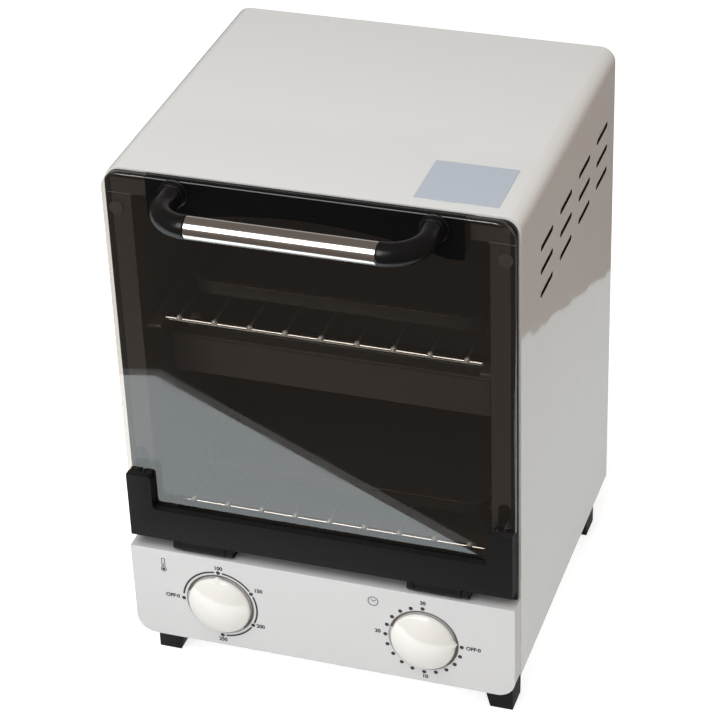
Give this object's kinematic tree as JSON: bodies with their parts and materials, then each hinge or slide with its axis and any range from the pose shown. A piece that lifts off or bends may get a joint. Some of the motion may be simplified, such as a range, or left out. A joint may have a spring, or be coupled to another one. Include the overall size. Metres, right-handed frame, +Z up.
{
  "type": "countertop oven",
  "caption": "Upright compact oven in white sheet steel with a drop-down smoked glass door, bar handle, wire racks and a front panel with domed temperature and timer dials.",
  "frame": {"origin": "on the bench under the middle of the overall box, handle and cord gland included", "axes": "+Z up, the door faces -Y, +X is to the right of someone facing the door"},
  "size_m": [0.255, 0.2872, 0.3637],
  "materials": {
    "white_paint": "satin white enamel",
    "panel_paint": "satin light grey-white",
    "plated_steel": "plain plated sheet",
    "dark_liner": "aluminised sheet",
    "smoked_glass": "smoked, polished",
    "black_plastic": "fine satin",
    "ivory_plastic": "gloss",
    "bright_steel": "polished tube",
    "tray_steel": "brushed stainless sheet",
    "guard_steel": "rough plated sheet",
    "bright_wire": "bright wire",
    "heater_tube": "oxidised tube",
    "white_ceramic": "matt",
    "bell_brass": "plain",
    "wire_cover": "heat-resistant sleeve",
    "clear_bumper": "translucent silicone",
    "blank_label": "printed film, blank"
  },
  "bodies": {
    "oven": {"outer_shell": "white_paint", "back_panel": "white_paint", "base_plate": "plated_steel", "front_frame": "dark_liner", "cavity_wall_left": "dark_liner", "cavity_wall_right": "dark_liner", "cavity_roof": "dark_liner", "cavity_floor": "dark_liner", "cavity_back": "dark_liner", "rack_runner_left": "dark_liner", "rack_runner_right": "dark_liner", "control_panel": "panel_paint", "control_plate": "plated_steel", "thermostat": "black_plastic", "timer_body": "black_plastic", "timer_bell": "bell_brass", "hinge_bracket_left": "black_plastic", "hinge_bracket_right": "black_plastic", "door_bumpers": "clear_bumper", "upper_element_front": "heater_tube", "upper_element_rear": "heater_tube", "lower_element_front": "heater_tube", "lower_element_rear": "heater_tube", "middle_element_front": "heater_tube", "middle_element_rear": "heater_tube", "middle_guard": "guard_steel", "element_bushes": "white_ceramic", "terminal_block": "white_ceramic", "wire_loom": "wire_cover", "cord_gland": "black_plastic", "front_feet": "black_plastic", "rear_feet": "black_plastic", "foot_screws": "plated_steel", "back_screws": "plated_steel", "top_label": "blank_label"},
    "door": {"door_glass": "smoked_glass", "door_rail": "black_plastic", "hinge_pins": "plated_steel", "handle_grip": "bright_steel", "handle_elbow_left": "black_plastic", "handle_elbow_right": "black_plastic", "handle_collars": "black_plastic", "handle_cover": "black_plastic", "handle_screws": "plated_steel", "stay_pins": "plated_steel"},
    "stay_left": {"stay_arm_left": "plated_steel"},
    "stay_right": {"stay_arm_right": "plated_steel"},
    "temperature_dial": {"temperature_knob": "ivory_plastic", "temperature_shaft": "plated_steel"},
    "timer_dial": {"timer_knob": "ivory_plastic", "timer_shaft": "plated_steel"},
    "rack_upper": {"upper_rack": "bright_wire", "upper_tray": "tray_steel"},
    "rack_lower": {"lower_rack": "bright_wire", "lower_tray": "tray_steel"}
  },
  "joints": [
    {"name": "door_hinge", "type": "hinge", "parent": "oven", "child": "door", "pos_m": [0, -0.10115, 0.0988], "axis": [1, 0, 0], "range_deg": [0, 90]},
    {"name": "stay_left_pivot", "type": "hinge", "parent": "door", "child": "stay_left", "pos_m": [-0.118, -0.09815, 0.1448], "axis": [1, 0, 0], "range_deg": [-45, 0]},
    {"name": "stay_right_pivot", "type": "hinge", "parent": "door", "child": "stay_right", "pos_m": [0.118, -0.09815, 0.1448], "axis": [1, 0, 0], "range_deg": [-45, 0]},
    {"name": "temperature_turn", "type": "hinge", "parent": "oven", "child": "temperature_dial", "pos_m": [-0.068, -0.10535, 0.0585], "axis": [0, 1, 0], "range_deg": [-90, 180]},
    {"name": "timer_turn", "type": "hinge", "parent": "oven", "child": "timer_dial", "pos_m": [0.068, -0.10535, 0.0585], "axis": [0, 1, 0], "range_deg": [0, 270]},
    {"name": "upper_rack_slide", "type": "slide", "parent": "oven", "child": "rack_upper", "axis": [0, -1, 0], "range_m": [0, 0.1493]},
    {"name": "lower_rack_slide", "type": "slide", "parent": "oven", "child": "rack_lower", "axis": [0, -1, 0], "range_m": [0, 0.0472]}
  ],
  "couplings": [
    {"joint": "stay_left_pivot", "follows": "door_hinge", "ratio": -0.5},
    {"joint": "stay_right_pivot", "follows": "door_hinge", "ratio": -0.5},
    {"joint": "upper_rack_slide", "follows": "door_hinge", "m_per_rad": 0.095},
    {"joint": "lower_rack_slide", "follows": "door_hinge", "m_per_rad": 0.03}
  ]
}
